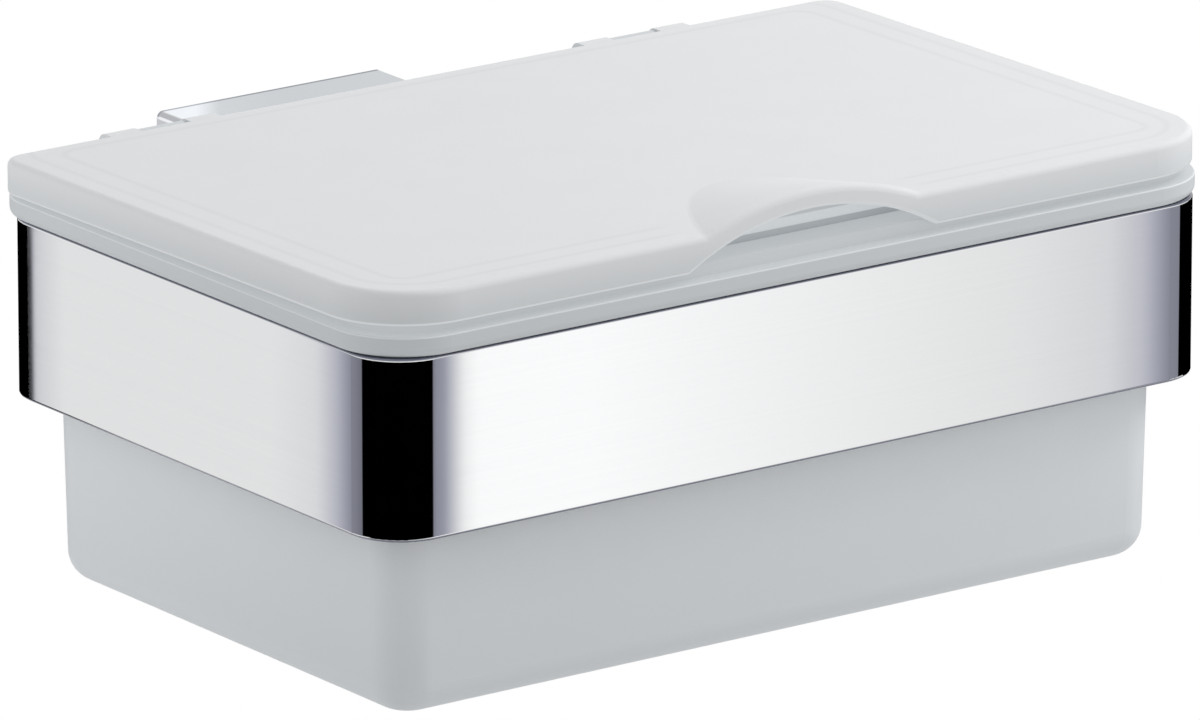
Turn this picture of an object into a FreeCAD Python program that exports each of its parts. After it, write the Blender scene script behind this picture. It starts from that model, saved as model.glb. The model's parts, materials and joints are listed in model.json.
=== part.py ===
"""Wall-mounted box for moist toilet paper: a band on a bracket carries a lift-out tub with a hinged lid.

Frame, in millimetres: the wall is the plane y = 0, the box stands out along -Y, and +Z is up.
The origin is on the wall, at the middle of the bracket.
"""
import FreeCAD, Part
import math
import os
import re
import Sketcher
from FreeCAD import Vector

SIZES = (
    ("ring_width", 191, "band, outside, left to right"),
    ("ring_depth", 127, "band, outside, front to back"),
    ("ring_height", 35, "band, top edge to bottom edge"),
    ("ring_corner", 11, "band, outside corner radius"),
    ("ring_wall", 2.5, "band, thickness of the metal"),
    ("ring_edge", 0.7, "band, rounding of its outside edges"),
    ("wall_reach", 47, "wall to the back of the band"),
    ("bracket_width", 53, "bracket, left to right"),
    ("bracket_height", 28.8, "bracket, top to bottom"),
    ("bracket_corner", 1.4, "bracket, rounding of its long edges"),
    ("bracket_wall", 3.5, "bracket, thickness of its shell"),
    ("bracket_nose", 6, "bracket, solid end behind the band"),
    ("socket_corner", 2, "bracket, corner radius of its hollow"),
    ("plate_thick", 10, "wall plate, thickness"),
    ("plate_clear", 0.4, "wall plate to bracket, gap all round"),
    ("plate_hole", 4.6, "wall plate, screw hole across"),
    ("plate_sink", 9, "wall plate, countersink across"),
    ("plate_pitch", 30, "wall plate, screw to screw"),
    ("notch_depth", 2, "wall plate, notch for the grub screw"),
    ("grub_across", 5, "grub screw, thread across"),
    ("grub_sunk", 0.6, "grub screw, depth below the bracket"),
    ("grub_key", 2.5, "grub screw, hexagon across flats"),
    ("grub_key_depth", 2, "grub screw, hexagon depth"),
    ("grub_gap", 0.1, "grub screw, gap at its cone"),
    ("thread_clear", 0.05, "threads, radial gap in their holes"),
    ("screw_across", 4, "band screws, thread across"),
    ("screw_pitch", 24, "band screws, centre to centre"),
    ("screw_head", 7.6, "band screws, head across"),
    ("screw_head_high", 2.2, "band screws, head height"),
    ("screw_head_round", 0.8, "band screws, rounding of the head"),
    ("screw_key", 2.5, "band screws, hexagon across flats"),
    ("screw_key_depth", 1.4, "band screws, hexagon depth"),
    ("screw_short", 0.5, "band screws, end short of the nose"),
    ("screw_hole_clear", 0.2, "band screws, radial gap in the band"),
    ("tub_inset", 6.1, "tub wall, inside the band's outline"),
    ("tub_corner", 8, "tub wall, corner radius"),
    ("tub_wall", 2.2, "tub, thickness of wall and floor"),
    ("tub_drop", 36.4, "tub, how far it hangs below the band"),
    ("tub_draft", 1, "tub, lean of each wall in degrees"),
    ("tub_foot", 6, "tub, rounding where wall meets floor"),
    ("rim_overhang", 1.4, "tub rim, outside the band's outline"),
    ("rim_height", 4, "tub rim, height of its outer band"),
    ("rim_corner", 15, "tub rim, radius of the front corners"),
    ("rim_back_corner", 12.5, "tub rim, radius of the back corners"),
    ("rim_round", 1.6, "tub rim, rounding of its lower edge"),
    ("rim_plate", 2.2, "tub rim, thickness over its hollow"),
    ("rim_step", 3, "tub rim, from its side in to the collar"),
    ("collar_height", 2.6, "tub collar, height above the rim"),
    ("collar_corner", 4, "tub collar, radius of the back corners"),
    ("collar_clear", 0.5, "tub collar to the lid's back, gap"),
    ("collar_edge", 0.4, "tub collar, rounding of its edges"),
    ("lip_clear", 0.5, "tub lip to the band, gap all round"),
    ("lip_wall", 1.4, "tub lip, thickness"),
    ("lip_drop", 3, "tub lip, depth inside the band"),
    ("lid_overhang", 1.6, "lid, outside the band's outline"),
    ("lid_back", 4, "lid, its back inside the band's outline"),
    ("lid_corner", 17, "lid, radius of the front corners"),
    ("lid_back_corner", 4.5, "lid, radius of the back corners"),
    ("lid_gap", 0.45, "lid, shadow gap above the rim when level"),
    ("lid_rest", 0.62, "lid, degrees open as it rests on its seal"),
    ("lid_height", 6.75, "lid, lower edge to top"),
    ("lid_plate", 2.4, "lid, thickness of its top"),
    ("lid_wall", 2.2, "lid, thickness of its side"),
    ("lid_crown", 1.3, "lid, rounding from top to side"),
    ("lid_hem", 0.8, "lid, rounding of its lower edge"),
    ("skirt_clear", 0.5, "lid skirt to the tub mouth, gap"),
    ("skirt_wall", 1.6, "lid skirt, thickness"),
    ("skirt_drop", 4, "lid skirt, depth below the ledge"),
    ("seal_width", 1.6, "seal, width outside the skirt"),
    ("seal_round", 0.8, "seal, rounding of its lower edges"),
    ("seal_gap", 0.1, "seal, gap over the ledge"),
    ("seal_fit", 0.02, "seal, gap to the skirt"),
    ("grip_half", 25.1, "finger grip, half its width at the lid's front"),
    ("grip_rise", 5.2, "finger grip, height above the lid"),
    ("grip_run", 28.6, "finger grip, length back to where it runs out on the lid"),
    ("grip_blend", 2, "finger grip, radius where it meets the lid"),
    ("hollow_half", 28.5, "finger hollow, half width at the hem"),
    ("hollow_rise", 7.9, "finger hollow, height above the hem"),
    ("hollow_edge", 0.6, "finger hollow, rounding of its front edge"),
    ("hinge_back", 4, "hinge axis, behind the band"),
    ("hinge_up", 2.4, "hinge axis, above the lid's lower edge"),
    ("hinge_inset", 40.5, "hinges, each in from the band's side"),
    ("lug_radius", 2.1, "lid lug, radius round the pin"),
    ("knuckle_radius", 1.8, "tub knuckle, radius round the pin"),
    ("knuckle_width", 10.6, "tub knuckle, width between the lugs"),
    ("knuckle_foot", 3.4, "tub knuckle, thickness of its arm"),
    ("lug_width", 7, "lid lug, width"),
    ("lug_gap", 0.3, "lid lug to knuckle, gap"),
    ("pin_across", 2, "hinge pin, across"),
    ("pin_play", 0.05, "hinge pin, radial gap in the lugs"),
    ("pin_grip", 0.01, "hinge pin, radial gap in the knuckle"),
    ("pin_short", 1, "hinge pin, end inside the lug"),
    ("pin_bevel", 0.3, "hinge pin, bevel of its ends"),
    ("bite", 1, "how far a moulded arm runs into its wall"),
)
ALIASES = {alias for alias, _, _ in SIZES}
TOUCH = 1e-4

# Heights and places that several pieces share, as sums of the sizes above
RING_TOP = "ring_height / 2"
RIM_TOP = f"{RING_TOP} + rim_height"
LEDGE = f"{RIM_TOP} + collar_height"
LID_LOW = f"{RIM_TOP} + lid_gap"
LID_TOP = f"{LID_LOW} + lid_height"
LID_CEILING = f"{LID_TOP} - lid_plate"
LID_FRONT = "ring_depth / 2 + lid_overhang"
LID_BACK = "ring_depth / 2 - lid_back"
TUB_BOTTOM = "-ring_height / 2 - tub_drop"
RING_CENTRE = "-(wall_reach + ring_depth / 2)"
AXIS_BACK = "ring_depth / 2 + hinge_back"
AXIS_UP = f"{LID_LOW} + hinge_up"
HINGE_PLACE = "(ring_width / 2 - hinge_inset)"
SOCKET_WIDTH = "bracket_width - 2 * bracket_wall"
SOCKET_HEIGHT = "bracket_height - 2 * bracket_wall"
PLATE_LOW = f"({SOCKET_HEIGHT}) / 2 - plate_clear"


def drawn_in(outline, step):
    """An outline moved in by a step all round; its corners tighten by as much."""
    inset, back_inset, front, back = outline
    return f"{inset} + ({step})", f"{back_inset} + ({step})", f"{front} - ({step})", f"{back} - ({step})"


# Plan outlines: how far the front and sides lie inside the band's, how far the back does,
# and the radii of the front and back corners
BAND = ("0", "0", "ring_corner", "ring_corner")
RIM = ("-rim_overhang", "-rim_overhang", "rim_corner", "rim_back_corner")
LIP = drawn_in(BAND, "ring_wall + lip_clear")
WALLS = ("tub_inset", "tub_inset", "tub_corner", "tub_corner")
MOUTH = drawn_in(WALLS, "tub_wall")
LID = ("-lid_overhang", "lid_back", "lid_corner", "lid_back_corner")
COLLAR = (
    "rim_step - rim_overhang",
    "lid_back + lid_wall + collar_clear",
    "rim_corner - rim_step",
    "collar_corner",
)
SKIRT = drawn_in(MOUTH, "skirt_clear")
SEAL = drawn_in(SKIRT, "-seal_width")

doc = FreeCAD.newDocument("tissue_box")
sheet = doc.addObject("Spreadsheet::Sheet", "Sizes")
for row, (alias, number, meaning) in enumerate(SIZES, 1):
    sheet.set(f"A{row}", meaning)
    sheet.set(f"B{row}", str(number))
    sheet.setAlias(f"B{row}", alias)
doc.recompute()


def bound(text):
    """The expression for a sum of sizes, with each size read from the sheet."""
    def named(match):
        word = match.group(0)
        return f"Sizes.{word}" if word in ALIASES else word
    return re.sub(r"[a-z_]+", named, text)


def measure(text):
    """The present value of a sum of sizes."""
    return float(sheet.evalExpression(bound(text)))


def new_body(name, centred=True):
    """A piece of its own; a centred one has its frame in the middle of the band."""
    body = doc.addObject("PartDesign::Body", name)
    body.Label = name
    if centred:
        body.setExpression("Placement.Base.y", bound(RING_CENTRE))
    return body


def tip_open(body):
    """Turns a piece drawn level about the hinge, by the angle at which the closed lid rests."""
    body.Placement = FreeCAD.Placement(Vector(), FreeCAD.Rotation(Vector(-1, 0, 0), 1))
    body.setExpression("Placement.Rotation.Angle", bound("lid_rest * 1 deg"))
    cosine = "cos(lid_rest * 1 deg)"
    sine = "sin(lid_rest * 1 deg)"
    back = f"({AXIS_BACK}) * (1 - {cosine}) - ({AXIS_UP}) * {sine}"
    up = f"({AXIS_UP}) * (1 - {cosine}) + ({AXIS_BACK}) * {sine}"
    body.setExpression("Placement.Base.y", bound(f"{RING_CENTRE} + {back}"))
    body.setExpression("Placement.Base.z", bound(up))


def new_sketch(body, name, role, height="0"):
    """A sketch on one of the body's own origin planes, moved along the plane's normal."""
    plane = next(f for f in body.Origin.OriginFeatures if f.Role == role)
    sketch = body.newObject("Sketcher::SketchObject", name)
    sketch.AttachmentSupport = (plane, [""])
    sketch.MapMode = "FlatFace"
    sketch.setExpression("AttachmentOffset.Base.z", bound(height))
    return sketch


def drive(sketch, text, kind, *where):
    """A dimension of a sketch, driven by a sum of sizes."""
    index = sketch.addConstraint(Sketcher.Constraint(kind, *where, measure(text)))
    sketch.setExpression(f"Constraints[{index}]", bound(text))


def place_point(sketch, geometry, end, across, up):
    """A point of a sketch, held at signed distances from the sketch's origin."""
    drive(sketch, across, "DistanceX", -1, 1, geometry, end)
    drive(sketch, up, "DistanceY", -1, 1, geometry, end)


def add_arc(sketch, radius, across, up, start, end):
    """An arc round a place held by two sums of sizes; its radius follows from what it meets."""
    circle = Part.Circle(Vector(measure(across), measure(up), 0), Vector(0, 0, 1), radius)
    arc = sketch.addGeometry(Part.ArcOfCircle(circle, start, end))
    place_point(sketch, arc, 3, across, up)
    return arc


def add_outline(sketch, across, ahead, behind, front, back):
    """A rectangle that reaches so far from the origin to each side, to the front and to the back.

    It has one radius for its front corners and one for its back corners.
    """
    arcs = []
    corners = ((1, 1, behind, back), (-1, 1, behind, back), (-1, -1, ahead, front), (1, -1, ahead, front))
    for quarter, (side, end, reach, corner) in enumerate(corners):
        x = f"{side} * ({across} - ({corner}))"
        y = f"{end} * ({reach} - ({corner}))"
        start = quarter * math.pi / 2
        arc = add_arc(sketch, measure(corner), x, y, start, start + math.pi / 2)
        drive(sketch, corner, "Radius", arc)
        arcs.append(arc)
    for arc, after in zip(arcs, arcs[1:] + arcs[:1]):
        run = Part.LineSegment(sketch.getPoint(arc, 2), sketch.getPoint(after, 1))
        line = sketch.addGeometry(run)
        sketch.addConstraint(Sketcher.Constraint("Tangent", arc, 2, line, 1))
        sketch.addConstraint(Sketcher.Constraint("Tangent", line, 2, after, 1))


def plan_of(outline):
    """A plan outline's reach to the side, front and back, and its two corner radii."""
    inset, back_inset, front, back = outline
    reaches = ("ring_width", inset), ("ring_depth", inset), ("ring_depth", back_inset)
    return [f"{size} / 2 - ({step})" for size, step in reaches] + [front, back]


def add_block(sketch, width, height, corner):
    """A rectangle round the sketch's origin with all its corners alike."""
    add_outline(sketch, f"({width}) / 2", f"({height}) / 2", f"({height}) / 2", corner, corner)


def add_circle(sketch, across, x="0", y="0"):
    """A circle of a given diameter at a place in the sketch."""
    centre = Vector(measure(x), measure(y), 0)
    circle = sketch.addGeometry(Part.Circle(centre, Vector(0, 0, 1), measure(across) / 2))
    drive(sketch, across, "Diameter", circle)
    place_point(sketch, circle, 3, x, y)


def add_polygon(sketch, corners):
    """A closed outline of straight runs through corners that are sums of sizes."""
    points = [Vector(measure(x), measure(y), 0) for x, y in corners]
    lines = []
    for start, end in zip(points, points[1:] + points[:1]):
        lines.append(sketch.addGeometry(Part.LineSegment(start, end)))
    for line, after in zip(lines, lines[1:] + lines[:1]):
        sketch.addConstraint(Sketcher.Constraint("Coincident", line, 2, after, 1))
    for line, (x, y) in zip(lines, corners):
        place_point(sketch, line, 1, x, y)


def add_hexagon(sketch, across_flats, x="0"):
    """A hexagon socket for a key, centred on the sketch's own x axis."""
    reach = f"({across_flats}) / 2 / cos(30 deg)"
    corners = []
    for turn in range(0, 360, 60):
        corners.append((f"({x}) + ({reach}) * cos({turn} deg)", f"({reach}) * sin({turn} deg)"))
    add_polygon(sketch, corners)


def add_feature(body, kind, name, sketch, length, both_ways=False, backwards=False):
    """A pad or pocket of a sketch along its normal."""
    feature = body.newObject(f"PartDesign::{kind}", name)
    feature.Profile = sketch
    feature.setExpression("Length", bound(length))
    feature.SideType = "Symmetric" if both_ways else "One side"
    feature.Reversed = backwards
    return feature


def raised(body, name, outline, low, high):
    """A solid block of a plan outline between two heights."""
    sketch = new_sketch(body, f"{name}_outline", "XY_Plane", low)
    add_outline(sketch, *plan_of(outline))
    return add_feature(body, "Pad", name, sketch, f"({high}) - ({low})")


def hollowed(body, name, outline, low, high):
    """A space of a plan outline, cut between two heights."""
    sketch = new_sketch(body, f"{name}_outline", "XY_Plane", low)
    add_outline(sketch, *plan_of(outline))
    return add_feature(body, "Pocket", name, sketch, f"({high}) - ({low})", backwards=True)


def named_edges(feature, wanted):
    """The names of a finished feature's edges that pass a test."""
    doc.recompute()
    edges = enumerate(feature.Shape.Edges, 1)
    return [f"Edge{k}" for k, edge in edges if wanted(edge)]


def off_outline(point, across, ahead, behind, front, back):
    """How far a point lies, in plan, from a rectangle with rounded corners round the origin."""
    reach, corner = (behind, back) if point.y > 0 else (ahead, front)
    past_x = abs(point.x) - (across - corner)
    past_y = abs(point.y) - (reach - corner)
    outside = math.hypot(max(past_x, 0), max(past_y, 0))
    return abs(outside + min(max(past_x, past_y), 0) - corner)


def outline_edges(feature, outline, height):
    """Edges that follow a plan outline at one height."""
    plan = [measure(size) for size in plan_of(outline)]
    level = measure(height)

    def wanted(edge):
        return all(abs(p.z - level) < TOUCH and off_outline(p, *plan) < TOUCH for p in edge.discretize(3))
    return named_edges(feature, wanted)


def round_edges(body, name, feature, edges, radius):
    """A rounding along chosen edges of a feature."""
    rounding = body.newObject("PartDesign::Fillet", name)
    rounding.Base = (feature, edges)
    rounding.setExpression("Radius", bound(radius))
    return rounding


def mirror_of(name, source):
    """The left-hand copy of a right-hand piece."""
    copy = doc.addObject("Part::Mirroring", name)
    copy.Label = name
    copy.Source = source
    copy.Normal = Vector(1, 0, 0)
    return copy


def make_ring_frame():
    """The bent metal band that the tub hangs in, drilled at the back for the bracket's screws."""
    body = new_body("ring_frame")
    raised(body, "band", BAND, "-ring_height / 2", RING_TOP)
    hollowed(body, "band_opening", drawn_in(BAND, "ring_wall"), "-ring_height / 2", RING_TOP)
    holes = new_sketch(body, "band_hole_centres", "XZ_Plane", "-ring_depth / 2 - bite")
    for side in (1, -1):
        add_circle(holes, "screw_across + 2 * screw_hole_clear", f"{side} * screw_pitch / 2")
    drilled = add_feature(body, "Pocket", "band_holes", holes, "ring_wall + 2 * bite", backwards=True)
    edges = outline_edges(drilled, BAND, RING_TOP) + outline_edges(drilled, BAND, "-ring_height / 2")
    round_edges(body, "band_edges", drilled, edges, "ring_edge")
    return body


def make_wall_bracket():
    """The hollow arm that slips over the wall plate and carries the band."""
    body = new_body("wall_bracket", centred=False)
    outline = new_sketch(body, "arm_outline", "XZ_Plane")
    add_block(outline, "bracket_width", "bracket_height", "bracket_corner")
    add_feature(body, "Pad", "arm", outline, "wall_reach")
    socket = new_sketch(body, "socket_outline", "XZ_Plane")
    add_block(socket, SOCKET_WIDTH, SOCKET_HEIGHT, "socket_corner")
    add_feature(body, "Pocket", "socket", socket, "wall_reach - bracket_nose", backwards=True)
    holes = new_sketch(body, "thread_centres", "XZ_Plane", "wall_reach")
    for side in (1, -1):
        add_circle(holes, "screw_across + 2 * thread_clear", f"{side} * screw_pitch / 2")
    add_feature(body, "Pocket", "threads", holes, "bracket_nose")
    grub = new_sketch(body, "grub_centre", "XY_Plane", "-bracket_height / 2")
    add_circle(grub, "grub_across + 2 * thread_clear", "0", "-plate_thick / 2")
    add_feature(body, "Pocket", "grub_thread", grub, "bracket_wall", backwards=True)
    return body


def make_wall_plate():
    """The block screwed to the wall, countersunk twice and notched below for the grub screw."""
    body = new_body("wall_plate", centred=False)
    outline = new_sketch(body, "plate_outline", "XZ_Plane")
    width = f"{SOCKET_WIDTH} - 2 * plate_clear"
    add_block(outline, width, f"2 * ({PLATE_LOW})", "socket_corner - plate_clear")
    add_feature(body, "Pad", "plate", outline, "plate_thick")
    for name, side in (("right", 1), ("left", -1)):
        drill = new_sketch(body, f"{name}_screw_section", "XY_Plane")
        middle = f"{side} * plate_pitch / 2"
        flare = "(plate_sink - plate_hole) / 2"
        add_polygon(drill, (
            (middle, "bite"),
            (f"{middle} + plate_hole / 2", "bite"),
            (f"{middle} + plate_hole / 2", f"-plate_thick + {flare}"),
            (f"{middle} + plate_sink / 2 + bite", "-plate_thick - bite"),
            (middle, "-plate_thick - bite"),
        ))
        hole = body.newObject("PartDesign::Groove", f"{name}_screw_hole")
        hole.Profile = drill
        hole.ReferenceAxis = (drill, ["Edge5"])
        hole.Angle = 360
    notch = new_sketch(body, "notch_section", "YZ_Plane")
    add_polygon(notch, (
        ("-plate_thick / 2", f"-({PLATE_LOW}) + notch_depth"),
        ("-plate_thick / 2 - notch_depth - bite", f"-({PLATE_LOW}) - bite"),
        ("-plate_thick / 2 + notch_depth + bite", f"-({PLATE_LOW}) - bite"),
    ))
    add_feature(body, "Pocket", "notch", notch, "grub_across + 4 * bite", both_ways=True)
    return body


def make_grub_screw():
    """The cone-point screw under the bracket that locks it on the wall plate."""
    body = new_body("grub_screw", centred=False)
    section = new_sketch(body, "grub_section", "YZ_Plane")
    middle = "-plate_thick / 2"
    tip = f"-({PLATE_LOW}) + notch_depth - grub_gap"
    add_polygon(section, (
        (middle, "-bracket_height / 2 + grub_sunk"),
        (f"{middle} + grub_across / 2", "-bracket_height / 2 + grub_sunk"),
        (f"{middle} + grub_across / 2", f"{tip} - grub_across / 2"),
        (middle, tip),
    ))
    turned = body.newObject("PartDesign::Revolution", "grub_thread_body")
    turned.Profile = section
    turned.ReferenceAxis = (section, ["Edge4"])
    turned.Angle = 360
    key = new_sketch(body, "grub_key_outline", "XY_Plane", "-bracket_height / 2 + grub_sunk")
    key.setExpression("AttachmentOffset.Base.y", bound(middle))
    add_hexagon(key, "grub_key")
    add_feature(body, "Pocket", "grub_socket", key, "grub_key_depth", backwards=True)
    return body


def make_bracket_screws():
    """The pair of button-head screws from inside the band into the bracket's nose."""
    body = new_body("bracket_screw", centred=False)
    seat = "wall_reach + ring_wall"
    middle = "screw_pitch / 2"
    shank = new_sketch(body, "shank_outline", "XZ_Plane", seat)
    add_circle(shank, "screw_across", middle)
    add_feature(body, "Pad", "shank", shank, "ring_wall + bracket_nose - screw_short", backwards=True)
    cap = new_sketch(body, "head_outline", "XZ_Plane", seat)
    add_circle(cap, "screw_head", middle)
    head = add_feature(body, "Pad", "head", cap, "screw_head_high")
    front = -measure(f"{seat} + screw_head_high")
    rim = named_edges(head, lambda edge: edge.BoundBox.YMax - front < TOUCH)
    round_edges(body, "head_round", head, rim, "screw_head_round")
    key = new_sketch(body, "screw_key_outline", "XZ_Plane", f"{seat} + screw_head_high")
    add_hexagon(key, "screw_key", middle)
    add_feature(body, "Pocket", "screw_socket", key, "screw_key_depth")
    pair = doc.addObject("Part::Compound", "bracket_screws")
    pair.Label = "bracket_screws"
    pair.Links = [body, mirror_of("bracket_screw_left", body)]
    return pair


def leaning(outline, height):
    """A plan outline of the tub's walls, drawn in at a height below the band's top by their lean."""
    inset, back_inset, front, back = outline
    lean = f"({RING_TOP} - ({height})) * tan(tub_draft * 1 deg)"
    return f"{inset} + {lean}", f"{back_inset} + {lean}", front, back


def tub_loft(body, kind, name, outline, top, bottom):
    """A block or space whose four walls lean in towards the bottom, as a moulding's do."""
    sections = []
    for level, height in (("top", top), ("bottom", bottom)):
        sketch = new_sketch(body, f"{name}_{level}_outline", "XY_Plane", height)
        add_outline(sketch, *plan_of(leaning(outline, height)))
        sections.append(sketch)
    loft = body.newObject(f"PartDesign::{kind}", name)
    loft.Profile = sections[0]
    loft.Sections = sections[1:]
    loft.Ruled = True
    return loft


def make_tub():
    """The lift-out tub: rim on the band, collar and ledge above it, lip inside, knuckles behind."""
    body = new_body("tub")
    rim = raised(body, "rim", RIM, RING_TOP, RIM_TOP)
    round_edges(body, "rim_underside", rim, outline_edges(rim, RIM, RING_TOP), "rim_round")
    collar = raised(body, "collar", COLLAR, RIM_TOP, LEDGE)
    edges = outline_edges(collar, COLLAR, LEDGE) + outline_edges(collar, RIM, RIM_TOP)
    round_edges(body, "collar_edges", collar, edges, "collar_edge")
    raised(body, "lip", LIP, f"{RING_TOP} - lip_drop", RING_TOP)
    inside_lip = drawn_in(LIP, "lip_wall")
    hollowed(body, "rim_hollow", inside_lip, f"{RING_TOP} - lip_drop", f"{RIM_TOP} - rim_plate")
    walls = tub_loft(body, "AdditiveLoft", "walls", WALLS, f"{RIM_TOP} - rim_plate / 2", TUB_BOTTOM)
    foot = outline_edges(walls, leaning(WALLS, TUB_BOTTOM), TUB_BOTTOM)
    round_edges(body, "foot", walls, foot, "tub_foot")
    floor = f"{TUB_BOTTOM} + tub_wall"
    inside = tub_loft(body, "SubtractiveLoft", "inside", MOUTH, f"{LEDGE} + bite", floor)
    edges = outline_edges(inside, leaning(MOUTH, floor), floor)
    round_edges(body, "inside_foot", inside, edges, "tub_foot - tub_wall")
    for name, side in (("right", 1), ("left", -1)):
        arm = new_sketch(body, f"{name}_knuckle_section", "YZ_Plane", f"{side} * {HINGE_PLACE}")
        add_knuckle(arm)
        add_feature(body, "Pad", f"{name}_knuckle", arm, "knuckle_width", both_ways=True)
    bore = new_sketch(body, "knuckle_bore_centre", "YZ_Plane")
    add_circle(bore, "pin_across + 2 * pin_grip", AXIS_BACK, AXIS_UP)
    add_feature(body, "Pocket", "knuckle_bores", bore, "ring_width", both_ways=True)
    return body


def join_runs(sketch, corners, arc):
    """Straight runs from an arc's end through the corners and back to its start."""
    points = [sketch.getPoint(arc, 2)]
    points += [Vector(measure(x), measure(y), 0) for x, y in corners]
    points.append(sketch.getPoint(arc, 1))
    lines = []
    for start, end in zip(points, points[1:]):
        lines.append(sketch.addGeometry(Part.LineSegment(start, end)))
    for line, after in zip(lines, lines[1:]):
        sketch.addConstraint(Sketcher.Constraint("Coincident", line, 2, after, 1))
    for line, (x, y) in zip(lines, corners):
        place_point(sketch, line, 2, x, y)
    sketch.addConstraint(Sketcher.Constraint("Tangent", arc, 2, lines[0], 1))
    sketch.addConstraint(Sketcher.Constraint("Tangent", lines[-1], 2, arc, 1))


def add_knuckle(sketch):
    """A barrel on an upright behind the rim, with a short arm that runs into the rim."""
    arc = add_arc(sketch, measure("knuckle_radius"), AXIS_BACK, AXIS_UP, 0, math.pi)
    join_runs(sketch, (
        (f"{AXIS_BACK} - knuckle_radius", RIM_TOP),
        (LID_BACK, RIM_TOP),
        (LID_BACK, f"{RIM_TOP} - knuckle_foot"),
        (f"{AXIS_BACK} + knuckle_radius", f"{RIM_TOP} - knuckle_foot"),
    ), arc)


def add_lug(sketch):
    """A barrel behind the lid, with flat cheeks that run into the lid's back."""
    arc = add_arc(sketch, measure("lug_radius"), AXIS_BACK, AXIS_UP, -math.pi / 2, math.pi / 2)
    join_runs(sketch, (
        (f"{LID_BACK} - bite", f"{AXIS_UP} + lug_radius"),
        (f"{LID_BACK} - bite", f"{AXIS_UP} - lug_radius"),
    ), arc)


def add_arch(sketch, half, rise, spring_up, foot):
    """An arch of one arc on two upright legs."""
    radius = f"({half} * {half} + {rise} * {rise}) / (2 * {rise})"
    middle_up = f"{spring_up} + {rise} - {radius}"
    spring = math.asin((measure(radius) - measure(rise)) / measure(radius))
    arc = add_arc(sketch, measure(radius), "0", middle_up, spring, math.pi - spring)
    drive(sketch, radius, "Radius", arc)
    corners = ((f"-{half}", foot), (half, foot))
    points = [sketch.getPoint(arc, 2)]
    points += [Vector(measure(x), measure(y), 0) for x, y in corners]
    points.append(sketch.getPoint(arc, 1))
    lines = [sketch.addGeometry(Part.LineSegment(*pair)) for pair in zip(points, points[1:])]
    sketch.addConstraint(Sketcher.Constraint("Coincident", arc, 2, lines[0], 1))
    sketch.addConstraint(Sketcher.Constraint("Coincident", lines[0], 2, lines[1], 1))
    sketch.addConstraint(Sketcher.Constraint("Coincident", lines[1], 2, lines[2], 1))
    sketch.addConstraint(Sketcher.Constraint("Coincident", lines[2], 2, arc, 1))
    sketch.addConstraint(Sketcher.Constraint("Vertical", lines[0]))
    sketch.addConstraint(Sketcher.Constraint("Vertical", lines[2]))
    for line, (x, y) in zip(lines, corners):
        place_point(sketch, line, 2, x, y)


def crease_edges(feature):
    """The edge where the finger grip runs out on the lid's top."""
    tip = measure(f"grip_run - ({LID_FRONT})")
    top = measure(LID_TOP)

    def wanted(edge):
        points = edge.discretize(3)
        return abs(points[1].y - tip) < TOUCH and all(abs(p.z - top) < TOUCH for p in points)
    return named_edges(feature, wanted)


def brow_edges(feature):
    """Edges of the lid's front face that run along its top and over the finger grip."""
    front = -measure(LID_FRONT)
    top = measure(LID_TOP)

    def wanted(edge):
        return all(abs(p.y - front) < TOUCH and p.z > top - TOUCH for p in edge.discretize(3))
    return named_edges(feature, wanted)


def arch_edges(feature):
    """The curved edge of the finger hollow on the lid's front face."""
    front = -measure(LID_FRONT)
    low = measure(f"{LID_LOW} + lid_hem")

    def wanted(edge):
        points = edge.discretize(3)
        return edge.Curve.TypeId == "Part::GeomCircle" and all(
            abs(p.y - front) < TOUCH and p.z > low - TOUCH for p in points)
    return named_edges(feature, wanted)


def lug_places():
    """The four lugs' places across the lid, one each side of each knuckle."""
    step = "(knuckle_width / 2 + lug_gap + lug_width / 2)"
    return {
        "right_outer": f"{HINGE_PLACE} + {step}",
        "right_inner": f"{HINGE_PLACE} - {step}",
        "left_inner": f"-{HINGE_PLACE} + {step}",
        "left_outer": f"-{HINGE_PLACE} - {step}",
    }


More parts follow.
